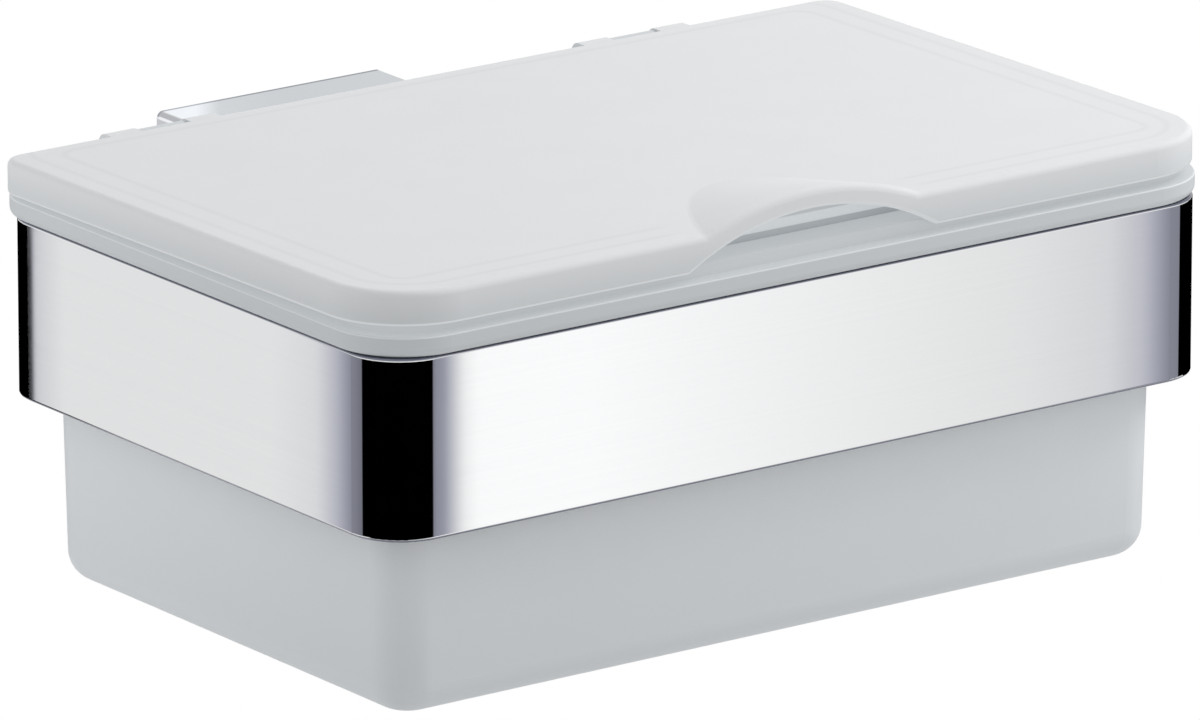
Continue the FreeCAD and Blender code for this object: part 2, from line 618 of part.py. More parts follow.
def make_lid():
    """The moulded lid: soft-edged top with a finger grip in front, skirt below and hinge lugs behind."""
    body = new_body("lid")
    tip_open(body)
    raised(body, "shell", LID, LID_LOW, LID_TOP)
    brow = new_sketch(body, "grip_section", "XZ_Plane", LID_FRONT)
    add_arch(brow, "grip_half", "grip_rise", LID_TOP, f"{LID_LOW} + lid_height / 2")
    grip = add_feature(body, "Pad", "grip", brow, "grip_run + bite")
    # The arch falls as it runs back, so that it sinks into the lid's top at the end of its run
    grip.UseCustomVector = True
    grip.AlongSketchNormal = True
    grip.setExpression("Direction.x", "0")
    grip.setExpression("Direction.y", bound("grip_run"))
    grip.setExpression("Direction.z", bound("-grip_rise"))
    doc.recompute()
    blend = round_edges(body, "grip_foot", grip, crease_edges(grip), "grip_blend")
    edges = set(outline_edges(blend, LID, LID_TOP)) | set(brow_edges(blend))
    crown = round_edges(body, "crown", blend, sorted(edges), "lid_crown")
    round_edges(body, "hem", crown, outline_edges(crown, LID, LID_LOW), "lid_hem")
    hollowed(body, "underside", drawn_in(LID, "lid_wall"), f"{LID_LOW} - grip_rise", LID_CEILING)
    arch = new_sketch(body, "finger_hollow_outline", "XZ_Plane", f"{LID_FRONT} + bite")
    add_arch(arch, "hollow_half", "hollow_rise", LID_LOW, f"{LID_LOW} - bite")
    depth = f"bite + lid_overhang + {SEAL[0]}"
    hollow = add_feature(body, "Pocket", "finger_hollow", arch, depth)
    round_edges(body, "finger_edge", hollow, arch_edges(hollow), "hollow_edge")
    skirt = new_sketch(body, "skirt_outlines", "XY_Plane", f"{LEDGE} - skirt_drop")
    add_outline(skirt, *plan_of(SKIRT))
    add_outline(skirt, *plan_of(drawn_in(SKIRT, "skirt_wall")))
    add_feature(body, "Pad", "skirt", skirt, f"{LID_CEILING} + lid_plate / 2 - ({LEDGE} - skirt_drop)")
    for name, place in lug_places().items():
        cheek = new_sketch(body, f"{name}_lug_section", "YZ_Plane", place)
        add_lug(cheek)
        add_feature(body, "Pad", f"{name}_lug", cheek, "lug_width", both_ways=True)
    bore = new_sketch(body, "lug_bore_centre", "YZ_Plane")
    add_circle(bore, "pin_across + 2 * pin_play", AXIS_BACK, AXIS_UP)
    add_feature(body, "Pocket", "lug_bores", bore, "ring_width", both_ways=True)
    return body


def make_lid_seal():
    """The soft ring round the lid's skirt that closes on the tub's ledge."""
    body = new_body("lid_seal")
    tip_open(body)
    low = f"{LEDGE} + seal_gap"
    rings = new_sketch(body, "seal_outlines", "XY_Plane", low)
    add_outline(rings, *plan_of(SEAL))
    add_outline(rings, *plan_of(drawn_in(SKIRT, "-seal_fit")))
    ring = add_feature(body, "Pad", "seal_ring", rings, f"{LID_CEILING} - ({low})")
    round_edges(body, "seal_lip", ring, outline_edges(ring, SEAL, low), "seal_round")
    return body


def make_hinge_pin():
    """The right-hand steel pin: tight in the tub's knuckle, free in the lid's lugs."""
    body = new_body("hinge_pin_right")
    section = new_sketch(body, "pin_outline", "YZ_Plane", HINGE_PLACE)
    add_circle(section, "pin_across", AXIS_BACK, AXIS_UP)
    length = "knuckle_width + 2 * (lug_gap + lug_width - pin_short)"
    rod = add_feature(body, "Pad", "pin_rod", section, length, both_ways=True)
    ends = named_edges(rod, lambda edge: edge.BoundBox.XLength < TOUCH)
    bevel = body.newObject("PartDesign::Chamfer", "pin_bevels")
    bevel.Base = (rod, ends)
    bevel.setExpression("Size", bound("pin_bevel"))
    return body


def check_and_write(pieces):
    """Stops if anything in the document failed, then writes each piece to its own file."""
    doc.recompute()
    for item in doc.Objects:
        if "Invalid" in item.State or "Error" in item.State:
            raise RuntimeError(f"{item.Label} failed: {item.State}")
    os.makedirs("parts", exist_ok=True)
    for piece in pieces:
        if piece.Shape.isNull() or not piece.Shape.isValid():
            raise RuntimeError(f"{piece.Label} is not a sound solid")
        piece.Shape.exportStep(f"parts/{piece.Label}.step")
        box = piece.Shape.BoundBox
        print(f"{piece.Label}: {len(piece.Shape.Solids)} solids, {piece.Shape.Volume:.1f} mm3,"
              f" y {box.YMin:.2f} to {box.YMax:.2f}, z {box.ZMin:.2f} to {box.ZMax:.2f}")


right_pin = make_hinge_pin()
check_and_write((
    make_ring_frame(),
    make_wall_bracket(),
    make_wall_plate(),
    make_grub_screw(),
    make_bracket_screws(),
    make_tub(),
    make_lid(),
    make_lid_seal(),
    right_pin,
    mirror_of("hinge_pin_left", right_pin),
))
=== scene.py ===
# %% [markdown]
# # A wall-mounted box for moist toilet paper
#
# The object is a polished metal band on a wall bracket. A frosted tub hangs in the band by its rim,
# and a frosted lid with an arched finger grip closes it. The solids come ready from the CAD frame,
# at their real size, so this lesson only gives them their finishes, their light and a camera.
# The box round the solids is kept here.

# %% Load the frame
import json
import math

import bmesh
import bpy
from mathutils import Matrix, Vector


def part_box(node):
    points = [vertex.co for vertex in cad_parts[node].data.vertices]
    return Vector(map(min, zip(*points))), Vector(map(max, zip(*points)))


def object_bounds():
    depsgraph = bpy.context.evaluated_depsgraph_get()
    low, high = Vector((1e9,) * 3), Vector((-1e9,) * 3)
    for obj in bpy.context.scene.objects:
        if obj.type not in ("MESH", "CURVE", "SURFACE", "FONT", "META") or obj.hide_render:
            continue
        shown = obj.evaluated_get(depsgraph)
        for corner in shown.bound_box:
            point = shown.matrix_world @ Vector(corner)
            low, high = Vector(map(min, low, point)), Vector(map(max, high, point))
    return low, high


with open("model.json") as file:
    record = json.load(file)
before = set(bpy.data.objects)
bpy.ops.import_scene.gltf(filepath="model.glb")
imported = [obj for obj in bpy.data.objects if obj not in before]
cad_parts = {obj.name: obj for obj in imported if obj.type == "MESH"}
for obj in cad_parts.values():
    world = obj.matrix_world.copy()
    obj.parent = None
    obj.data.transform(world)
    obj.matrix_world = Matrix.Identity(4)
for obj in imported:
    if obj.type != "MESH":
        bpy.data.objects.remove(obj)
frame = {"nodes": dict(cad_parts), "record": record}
cad_low, cad_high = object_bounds()
MM = 0.001
print("pieces:", ", ".join(sorted(frame["nodes"])))
print("size in mm:", [round(side / MM, 1) for side in cad_high - cad_low])

# %% [markdown]
# ## The camera
#
# The photograph was taken with a very long lens: the far edges are hardly shorter than the near ones.
# A camera is four choices: what it looks at, from which side, from how far and with which lens.
# It could be placed by eye, but a fit to the band's edges gives all four at once, and they go
# together: a camera that stands further off needs a longer lens for the same picture.
# The lens follows from the focal length in pixels of a picture 1200 pixels wide.

# %% The camera
LOOK_AT = Vector((-1.46, -110.5, -13.21)) * MM
CAMERA_LEFT = math.radians(36.04)
CAMERA_UP = math.radians(16.59)
CAMERA_AWAY = 2.778
FOCAL_PIXELS = 14777
PICTURE_WIDTH = 1200

towards_camera = Vector((
    -math.sin(CAMERA_LEFT) * math.cos(CAMERA_UP),
    -math.cos(CAMERA_LEFT) * math.cos(CAMERA_UP),
    math.sin(CAMERA_UP),
))
camera = bpy.data.objects.new("camera", bpy.data.cameras.new("camera"))
camera.location = LOOK_AT + towards_camera * CAMERA_AWAY
camera.rotation_euler = (-towards_camera).to_track_quat("-Z", "Y").to_euler()
camera.data.lens = FOCAL_PIXELS / PICTURE_WIDTH * camera.data.sensor_width
bpy.context.scene.collection.objects.link(camera)
bpy.context.scene.camera = camera
bpy.context.scene.view_settings.view_transform = "Standard"
print("lens in mm:", round(camera.data.lens, 1))

# %% [markdown]
# ## Shader sums written as sums
#
# A finish is a formula over the surface. Wiring its Math nodes by hand hides the formula, so a small
# class wraps one output of a node: adding, multiplying or comparing such outputs adds the nodes.
# Every other kind of node comes from one method, which sets the node up and then joins its sockets.
# A Mix node keeps the sockets of all its kinds in one list, so the numbers of its colour sockets
# get names here. So do the two amounts of detail that the noise of the finishes has.

# %% A socket that can be reckoned with
MIX_FACTOR = 0
MIX_FIRST = 6
MIX_SECOND = 7
MIX_RESULT = 2
FULL_DETAIL = 3
LITTLE_DETAIL = 2


class Socket:
    """One output of a node; sums with it add Math nodes to the same tree."""

    def __init__(self, tree, output=None):
        self.tree = tree
        self.output = output

    def node(self, kind, settings=None, sockets=None, output=0):
        """Adds a node, sets it up, then gives its sockets their values or links."""
        made = self.tree.nodes.new(kind)
        for name, value in (settings or {}).items():
            if name == "stops":
                fill_ramp(made.color_ramp, value)
            else:
                setattr(made, name, value)
        for name, value in (sockets or {}).items():
            if isinstance(value, Socket):
                self.tree.links.new(value.output, made.inputs[name])
            else:
                made.inputs[name].default_value = value
        return Socket(self.tree, made.outputs[output])

    def maths(self, operation, *values):
        return self.node("ShaderNodeMath", {"operation": operation}, dict(enumerate(values)))

    def __add__(self, other):
        return self.maths("ADD", self, other)

    __radd__ = __add__

    def __sub__(self, other):
        return self.maths("SUBTRACT", self, other)

    def __rsub__(self, other):
        return self.maths("SUBTRACT", other, self)

    def __mul__(self, other):
        return self.maths("MULTIPLY", self, other)

    __rmul__ = __mul__

    def __abs__(self):
        return self.maths("ABSOLUTE", self)

    def over(self, floor):
        return self.maths("MAXIMUM", self, floor)

    def under(self, ceiling):
        return self.maths("MINIMUM", self, ceiling)

    def root(self):
        return self.maths("SQRT", self)

    def eased(self, low, high):
        """0 below low, 1 above high, and a soft step between."""
        sockets = {"Value": self, "From Min": low, "From Max": high}
        return self.node("ShaderNodeMapRange", {"interpolation_type": "SMOOTHSTEP"}, sockets)

    def between(self, first, second):
        """A colour that goes from the first to the second as this value goes from 0 to 1."""
        sockets = {MIX_FACTOR: self, MIX_FIRST: first, MIX_SECOND: second}
        return self.node("ShaderNodeMix", {"data_type": "RGBA"}, sockets, MIX_RESULT)

    def chosen(self, first, second):
        """A shader that goes from the first to the second as this value goes from 0 to 1."""
        return self.node("ShaderNodeMixShader", None, {0: self, 1: first, 2: second})

    def stretched(self, amounts):
        """A vector with its three parts multiplied by three numbers."""
        return self.node("ShaderNodeVectorMath", {"operation": "MULTIPLY"}, {0: self, 1: amounts})

    def parts(self):
        """The three parts of a vector."""
        first = self.node("ShaderNodeSeparateXYZ", None, {0: self})
        return [Socket(self.tree, part) for part in first.output.node.outputs]

    def speckle(self, size, detail=FULL_DETAIL):
        """Soft noise about 0.5 with spots of a given size, at places given by this vector."""
        sockets = {"Vector": self, "Scale": 1 / size, "Detail": detail}
        return self.node("ShaderNodeTexNoise", None, sockets)

    def feed(self, shader, name):
        self.tree.links.new(self.output, shader.inputs[name])


def fill_ramp(ramp, stops):
    """Gives a colour ramp its stops: pairs of a place from 0 to 1 and a grey."""
    while len(ramp.elements) > 1:
        ramp.elements.remove(ramp.elements[-1])
    for number, (place, grey) in enumerate(stops):
        stop = ramp.elements[0] if number == 0 else ramp.elements.new(place)
        stop.position = place
        stop.color = (grey, grey, grey, 1)


# %% [markdown]
# ## Starting a finish
#
# Every finish starts alike: a material, its shader with the values that are the same all over, and
# the places on the surface. The places are object coordinates, which here are metres in the CAD
# frame, so a mark can be put at a measured height and stays on its piece when a joint moves.
# A ruffled surface is a height with a real depth, and painting only swaps the material of a solid.

# %% Starting a finish
def new_finish(name, constants):
    """A material, its shader with the constant sockets set, and the places on the surface in metres."""
    material = bpy.data.materials.new(name)
    material.use_nodes = True
    shader = material.node_tree.nodes["Principled BSDF"]
    for socket, value in constants.items():
        shader.inputs[socket].default_value = value
    place = Socket(material.node_tree).node("ShaderNodeTexCoord", output="Object")
    return material, shader, place


def upward(place):
    """How far the surface faces up on its own piece: 1 on top, 0 on a wall, -1 below."""
    return place.node("ShaderNodeTexCoord", output="Normal").parts()[2]


def grain(shader, height, depth):
    """Lets a height from 0 to 1 ruffle the surface by a real depth."""
    bump = height.node("ShaderNodeBump", None, {"Height": height, "Distance": depth, "Strength": 1.0})
    bump.feed(shader, "Normal")


def paint(material, *nodes):
    """Puts a material on CAD nodes in place of the one they came with."""
    for node in nodes:
        mesh = frame["nodes"][node].data
        mesh.materials.clear()
        mesh.materials.append(material)
    print(material.name, "on", ", ".join(nodes))


# %% [markdown]
# ## Distance from an outline
#
# The band, the rim and the lid are rectangles with round corners in plan. Lines that follow them could
# be drawn with extra edges in the mesh. A rounded rectangle has a simple distance formula, though, so
# a line that follows one all round is a narrow range of that distance, and the mesh stays as it is.

# %% Distance from an outline
def outline_distance(x, y, half_width, front, back, corner):
    """How far a place lies outside a rounded rectangle in plan; inside it is less than 0."""
    past_x = abs(x) - (half_width - corner)
    past_y = abs(y - (front + back) / 2) - ((back - front) / 2 - corner)
    beyond_x = past_x.over(0.0)
    beyond_y = past_y.over(0.0)
    outside = (beyond_x * beyond_x + beyond_y * beyond_y).root()
    return outside + past_x.over(past_y).under(0.0) - corner


def line_at(distance, inset, width):
    """A soft line of a given half width, so far inside an outline."""
    return 1 - abs(distance + inset).eased(0.0, width)


# %% [markdown]
# ## Polished metal
#
# The band and its bracket are plated and polished, so nearly all that shows on them is what stands
# around them. A mirror with one perfect roughness looks false. Real plating has a faint haze from
# wiping and very fine polishing lines along the band, and both belong in the roughness. The lines
# are noise on places that are stretched unevenly, so that its round spots are drawn out.

# %% Polished metal
HAZE_SPOT = 9 * MM
HAZE_LOW = 0.35
HAZE_HIGH = 0.75
HAZE_ROUGHNESS = 0.006
POLISH_LINE = (6, 6, 1400)
DRAWN_SPOT = 1.0
POLISH_ROUGHNESS = 0.012
MIRROR_ROUGHNESS = 0.03
PLATING_PALE = (0.925, 0.93, 0.935, 1)
PLATING_DEEP = (0.895, 0.90, 0.91, 1)


def polish(name):
    """Polished plating: its material, shader, places and the tint of its polishing lines."""
    material, shader, place = new_finish(name, {"Metallic": 1.0})
    haze = place.speckle(HAZE_SPOT).eased(HAZE_LOW, HAZE_HIGH)
    lines = place.stretched(POLISH_LINE).speckle(DRAWN_SPOT, LITTLE_DETAIL)
    roughness = MIRROR_ROUGHNESS + HAZE_ROUGHNESS * haze + POLISH_ROUGHNESS * lines
    roughness.feed(shader, "Roughness")
    tint = lines.between(PLATING_PALE, PLATING_DEEP)
    return material, shader, place, tint


# %% [markdown]
# ## The band
#
# The band's upper and lower edges are rounded, and the roundings catch the dark of the room. They are
# narrower than a pixel or two, so a mirror image of the room in them would only be noise. Here that dark
# reflection is painted in as a dark tint instead, on the outer side alone: the inside of the band keeps
# its plain plating.

# %% The band
BAND_CORNER = 11 * MM
EDGE_START = 0.7 * MM
EDGE_FULL = 0.42 * MM
SIDE_START = 0.91 * MM
SIDE_FULL = 0.77 * MM
PAINTED_EDGE_REFLECTION = (0.15, 0.16, 0.20, 1)

ring_low, ring_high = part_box("ring_frame")
polished, shader, place, tint = polish("polished_metal")
across, along, height = place.parts()
side = outline_distance(across, along, ring_high.x, ring_low.y, ring_high.y, BAND_CORNER)
turned = abs(height).eased(ring_high.z - EDGE_START, ring_high.z - EDGE_FULL)
outside = side.eased(-SIDE_START, -SIDE_FULL)
# Painted reflection: the outer roundings get a dark tint in place of the dark room they would mirror.
(turned * outside).between(tint, PAINTED_EDGE_REFLECTION).feed(shader, "Base Color")
paint(polished, "ring_frame")

# %% [markdown]
# ## The bracket
#
# The bracket is a short bar with the same plating. Its cut at the wall and its long top edges read as
# thin grey lines, a painted reflection: a dark tint in place of the dark room they mirror. Its narrow
# sides mirror a patch of the room that no stage piece stands for, so that reflection is painted on them
# as a plain grey, mostly as emission: a card for each side would also show on the band.

# %% The bracket
CUT_START = 1.0 * MM
CUT_FULL = 0.5 * MM
CUT_SHARE = 0.75
LONG_EDGE_START = 1.4 * MM
TOP_EDGE_START = 0.98 * MM
LONG_EDGE_FULL = 0.7 * MM
LONG_EDGE_SHARE = 0.6
SIDE_SKIN_START = 0.1 * MM
SIDE_SKIN_FULL = 0.05 * MM
BRACKET_SIDE_PAINTED_REFLECTION = (0.3, 0.31, 0.32, 1)
BRACKET_SIDE_REFLECTION_GLOW = (0.55, 0.56, 0.58, 1)
BLACK = (0, 0, 0, 1)

bracket_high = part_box("wall_bracket")[1]
bracket_metal, shader, place, tint = polish("bracket_metal")
across, along, height = place.parts()
cut = along.eased(bracket_high.y - CUT_START, bracket_high.y - CUT_FULL)
outer = abs(across).eased(bracket_high.x - LONG_EDGE_START, bracket_high.x - LONG_EDGE_FULL)
upper = height.eased(bracket_high.z - TOP_EDGE_START, bracket_high.z - LONG_EDGE_FULL)
on_side = abs(across).eased(bracket_high.x - SIDE_SKIN_START, bracket_high.x - SIDE_SKIN_FULL)
# Painted reflection: the cut and the long top edges are tinted dark for the dark room they mirror.
dark = (CUT_SHARE * cut).over(LONG_EDGE_SHARE * (outer * upper))
# Painted reflection: the narrow sides get a grey tint and a grey glow for the patch of room they mirror.
plating = on_side.between(tint, BRACKET_SIDE_PAINTED_REFLECTION)
dark.between(plating, PAINTED_EDGE_REFLECTION).feed(shader, "Base Color")
on_side.between(BLACK, BRACKET_SIDE_REFLECTION_GLOW).feed(shader, "Emission Color")
shader.inputs["Emission Strength"].default_value = 1.0
paint(bracket_metal, "wall_bracket")

# %% [markdown]
# ## Frosted plastic
#
# Tub and lid are moulded in frosted plastic. Its surface is a fine etched grain, so highlights
# spread into a soft sheen. Light that enters comes out again nearby, so the plastic never gets
# quite dark in a groove, and a thin rim is a little lighter than the wall below it. Real scattering
# takes the renderer long for little gain, so that light and shade are painted into the tints and glows:
# each is a mix by height and place.

# %% Frosted plastic
PLASTIC_IOR = 1.49
PLASTIC_SHEEN = 0.35
GRAIN_SPOT = 0.35 * MM
GRAIN_DEPTH = 0.006 * MM
CLOUD_SPOT = 14 * MM
GRAIN_SHARE = 0.55
CLOUD_SHARE = 0.45
TINT_LOW = 0.2
TINT_HIGH = 0.8
FROST_ROUGHNESS = 0.42
GRAIN_ROUGHNESS = 0.18


def frosted(name, pale, deep):
    """Frosted plastic between two close tints: its material, shader, places and tint."""
    constants = {"IOR": PLASTIC_IOR, "Specular IOR Level": PLASTIC_SHEEN, "Emission Strength": 1.0}
    material, shader, place = new_finish(name, constants)
    speck = place.speckle(GRAIN_SPOT, LITTLE_DETAIL)
    cloud = place.speckle(CLOUD_SPOT, LITTLE_DETAIL)
    (FROST_ROUGHNESS + GRAIN_ROUGHNESS * speck).feed(shader, "Roughness")
    grain(shader, speck, GRAIN_DEPTH)
    mottle = GRAIN_SHARE * speck + CLOUD_SHARE * cloud
    tint = mottle.eased(TINT_LOW, TINT_HIGH).between(deep, pale)
    return material, shader, place, tint


# %% [markdown]
# ## The tub
#
# The tub's wall is painted a little paler towards the band than at its foot: painted light that comes
# in through the lid. Its rim is painted darker, as shade under the lid, with a painted highlight on its
# top edge, and the collar in the shadow groove above it gets a darker tint and a faint glow: painted
# shade and painted light for the light that runs in the plastic. All of these lie at fixed heights, so
# each is a soft step or a line in the height alone.

# %% The tub
TUB_PALE = (0.755, 0.78, 0.80, 1)
TUB_DEEP = (0.73, 0.755, 0.775, 1)
FOOT_PAINTED_SHADE = (0.655, 0.685, 0.705, 1)
FOOT_SHADE_SHARE = 0.9
RIM_RISE = 4 * MM
RIM_START = 0.3 * MM
RIM_PAINTED_SHADE = (0.615, 0.64, 0.66, 1)
RIM_LINE_DROP = 0.1 * MM
RIM_LINE_WIDTH = 0.35 * MM
RIM_PAINTED_HIGHLIGHT = (0.80, 0.82, 0.84, 1)
TOP_FROM = 0.6
TOP_FULL = 0.9
GROOVE_START = 0.1 * MM
COLLAR_PAINTED_SHADE = (0.34, 0.355, 0.365, 1)
COLLAR_PAINTED_LIGHT = (0.27, 0.28, 0.287, 1)

tub_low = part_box("tub")[0]
rim_top = ring_high.z + RIM_RISE
tub_plastic, shader, place, tint = frosted("tub_plastic", TUB_PALE, TUB_DEEP)
height = place.parts()[2]
# Painted shade: the wall is tinted darker towards its foot and paler towards the band, for the light
# that comes in through the lid.
shade_fall = 1 - height.eased(tub_low.z, ring_low.z)
wall = (FOOT_SHADE_SHARE * shade_fall).between(tint, FOOT_PAINTED_SHADE)
# Painted shade: the rim under the lid's overhang is tinted darker.
in_rim = height.eased(ring_high.z - RIM_START, ring_high.z)
off_top = 1 - upward(place).eased(TOP_FROM, TOP_FULL)
# Painted highlight: a pale line along the rim's top edge.
rim_highlight = line_at(height, RIM_LINE_DROP - rim_top, RIM_LINE_WIDTH) * off_top
wall = rim_highlight.between(in_rim.between(wall, RIM_PAINTED_SHADE), RIM_PAINTED_HIGHLIGHT)
# Painted shade and painted light: the collar in the groove gets a dark base and a glow for the light
# that runs in the plastic.
in_groove = height.eased(rim_top - GROOVE_START, rim_top)
in_groove.between(wall, COLLAR_PAINTED_SHADE).feed(shader, "Base Color")
in_groove.between(BLACK, COLLAR_PAINTED_LIGHT).feed(shader, "Emission Color")
paint(tub_plastic, "tub")

# %% [markdown]
# ## The lid's level
#
# The lid is one moulding that lies a little open on its seal, so its edge isn't quite level. A line
# along that edge would cross it if it followed the plain height. So the height is reckoned from the
# lid's own lower face, which tilts about the hinge.

# %% The lid's level
LID_PALE = (0.775, 0.785, 0.80, 1)
LID_DEEP = (0.75, 0.76, 0.775, 1)
LID_REST = math.radians(0.62)
HINGE_UP = 2.4 * MM

lid_low, lid_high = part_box("lid")
joints = frame["record"]["behaviour"]["joints"]
hinge = Vector(next(joint["pos_m"] for joint in joints if joint["name"] == "lid_hinge"))
lid_plastic, shader, place, tint = frosted("lid_plastic", LID_PALE, LID_DEEP)
across, along, height = place.parts()
level = height - (hinge.z - HINGE_UP) - math.tan(LID_REST) * (hinge.y - along)
print("hinge in mm:", [round(part / MM, 2) for part in hinge])

# %% [markdown]
# ## Lines that show through the lid
#
# The lid has a wall round its edge and a skirt further in. Both stand below its thin top and show
# through it as faint darker lines. See-through plastic would need many slow light paths for these
# two lines, so they are drawn as tints that follow the two outlines and stop at the finger grip.

# %% Lines that show through the lid
LID_CORNER = 17 * MM
WALL_LINE = 4.9 * MM
SKIRT_CORNER = 5.5 * MM
LINE_WIDTH = 1.2 * MM
LINE_SHARE = 0.075
LINE_TINT = (0.30, 0.31, 0.32, 1)
GRIP_HALF = 25.1 * MM
GRIP_RUN = 28.6 * MM
GRIP_FADE = 1.2

seal_low, seal_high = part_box("lid_seal")
rim_edge = outline_distance(across, along, lid_high.x, lid_low.y, lid_high.y, LID_CORNER)
skirt = outline_distance(across, along, seal_high.x, seal_low.y, seal_high.y, SKIRT_CORNER)
seen_through = line_at(rim_edge, WALL_LINE, LINE_WIDTH).over(line_at(skirt, LINE_WIDTH, LINE_WIDTH))
beside_grip = abs(across).eased(GRIP_HALF, GRIP_FADE * GRIP_HALF)
behind_grip = along.eased(lid_low.y + GRIP_RUN, lid_low.y + GRIP_FADE * GRIP_RUN)
off_grip = beside_grip.over(behind_grip)
top_tint = (LINE_SHARE * seen_through * off_grip).between(tint, LINE_TINT)
print("lines stop", round(GRIP_RUN / MM, 1), "mm behind the lid's front")

# %% [markdown]
# ## The lid's side, hem and underside
#
# The side is painted a little darker than the top and darker still downwards, as painted shade, and ends
# in a painted highlight along its hem, and so does the arch over the finger hollow. The arch is part of
# a circle, given by its half width and its rise. The underside
# gets a darker tint and a glow: painted shade and painted light for the light that comes through from
# above.
# Which face is which follows from the way the surface faces on the lid itself, so an open lid keeps its
# finish.

# %% The lid's side, hem and underside
LID_HEIGHT = 6.75 * MM
SIDE_PAINTED_SHADE_TOP = (0.75, 0.765, 0.78, 1)
SIDE_PAINTED_SHADE_FOOT = (0.665, 0.69, 0.705, 1)
STEEP = 0.35
FLAT = 0.85
HEM_UP = 0.3 * MM
HEM_WIDTH = 0.45 * MM
HEM_PAINTED_HIGHLIGHT = (0.84, 0.85, 0.86, 1)
HOLLOW_HALF = 28.5 * MM
HOLLOW_RISE = 7.9 * MM
FRONT_FULL = 1.0 * MM
FRONT_END = 1.4 * MM
BELOW_FULL = -0.5
BELOW_FROM = -0.1
UNDERSIDE_PAINTED_SHADE = (0.40, 0.41, 0.42, 1)
UNDERSIDE_PAINTED_LIGHT = (0.32, 0.33, 0.34, 1)

facing = upward(place)
sideways = 1 - abs(facing).eased(STEEP, FLAT)
# Painted shade: the lid's side is tinted darker than the top and darker still towards its hem.
shade_fall = 1 - level.eased(0.0, LID_HEIGHT)
side_painted_shade = shade_fall.between(SIDE_PAINTED_SHADE_TOP, SIDE_PAINTED_SHADE_FOOT)
arch_radius = (HOLLOW_HALF ** 2 + HOLLOW_RISE ** 2) / (2 * HOLLOW_RISE)
arch_up = level + (arch_radius - HOLLOW_RISE)
off_arch = (across * across + arch_up * arch_up).root() - arch_radius
in_front = 1 - along.eased(lid_low.y + FRONT_FULL, lid_low.y + FRONT_END)
# Painted highlight: pale lines along the lid's hem and along the arch over the finger hollow.
hem_highlight = line_at(level, -HEM_UP, HEM_WIDTH) * sideways
arch_highlight = line_at(off_arch, -HEM_UP, HEM_WIDTH) * in_front
outer_tint_and_light = hem_highlight.over(arch_highlight).between(sideways.between(top_tint, side_painted_shade), HEM_PAINTED_HIGHLIGHT)
# Painted shade and painted light: the underside gets a dark base and a glow for the light that comes
# through from above.
below = 1 - facing.eased(BELOW_FULL, BELOW_FROM)
below.between(outer_tint_and_light, UNDERSIDE_PAINTED_SHADE).feed(shader, "Base Color")
below.between(BLACK, UNDERSIDE_PAINTED_LIGHT).feed(shader, "Emission Color")
paint(lid_plastic, "lid")
print("arch radius in mm:", round(arch_radius / MM, 1))

# %% [markdown]
# ## The seal
#
# The ring under the lid is soft pale rubber, dull and a little dusty. It shows in the shadow below
# the finger grip, where light reaches it only through the plastic. That light is painted on as a plain
# glow here, for the same reason as on the lid.

# %% The seal
RUBBER_SHEEN = 0.3
RUBBER_PAINTED_LIGHT = (0.31, 0.325, 0.335, 1)
RUBBER_DEEP = (0.42, 0.435, 0.445, 1)
RUBBER_PALE = (0.48, 0.495, 0.505, 1)
RUBBER_ROUGHNESS = 0.62
DUST_ROUGHNESS = 0.2
DUST_SPOT = 0.8 * MM
DUST_DEPTH = 0.01 * MM

# Painted light: the seal glows with a plain emission for the light that reaches it through the plastic.
constants = {"Specular IOR Level": RUBBER_SHEEN, "Emission Strength": 1.0, "Emission Color": RUBBER_PAINTED_LIGHT}
seal_rubber, shader, place = new_finish("seal_rubber", constants)
dust = place.speckle(DUST_SPOT)
(RUBBER_ROUGHNESS + DUST_ROUGHNESS * dust).feed(shader, "Roughness")
dust.between(RUBBER_DEEP, RUBBER_PALE).feed(shader, "Base Color")
grain(shader, dust, DUST_DEPTH)
paint(seal_rubber, "lid_seal")

# %% [markdown]
# ## Wall plate, screws and pins
#
# The wall plate is brushed aluminium, and the screws and hinge pins are plain steel. They hide at
# rest, but some show from behind or when the tub lifts. Brushing is noise drawn out along one
# direction: where the three scales differ, the spots turn into strokes, and no picture is needed.

# %% Wall plate, screws and pins
STROKE_ROUGHNESS = 0.15
STROKE_DEPTH = 0.004 * MM
PLATE_PALE = (0.80, 0.81, 0.82, 1)
PLATE_DEEP = (0.66, 0.67, 0.68, 1)
PLATE_STROKES = (60, 60, 4000)
PLATE_ROUGHNESS = 0.28
STEEL_PALE = (0.70, 0.71, 0.73, 1)
STEEL_DEEP = (0.54, 0.55, 0.57, 1)
STEEL_SPOTS = (900, 900, 900)
STEEL_ROUGHNESS = 0.25


def brushed(name, pale, deep, strokes, rough):
    """Metal with fine strokes: noise drawn out along one direction."""
    material, shader, place = new_finish(name, {"Metallic": 1.0})
    stroke = place.stretched(strokes).speckle(DRAWN_SPOT)
    (rough + STROKE_ROUGHNESS * stroke).feed(shader, "Roughness")
    stroke.between(deep, pale).feed(shader, "Base Color")
    grain(shader, stroke, STROKE_DEPTH)
    return material


plate_metal = brushed("plate_metal", PLATE_PALE, PLATE_DEEP, PLATE_STROKES, PLATE_ROUGHNESS)
screw_steel = brushed("screw_steel", STEEL_PALE, STEEL_DEEP, STEEL_SPOTS, STEEL_ROUGHNESS)
paint(plate_metal, "wall_plate")
paint(screw_steel, "grub_screw", "bracket_screws", "hinge_pin_left", "hinge_pin_right")

# %% [markdown]
# ## The white tent
#
# A big white tent gives most of the light, a little brighter above than below. A white background
# could come from more light, but that would bleach the box. So the light that spreads keeps its plain
# strength, and only what the camera, mirrors and glass see of the tent is set to plain white.

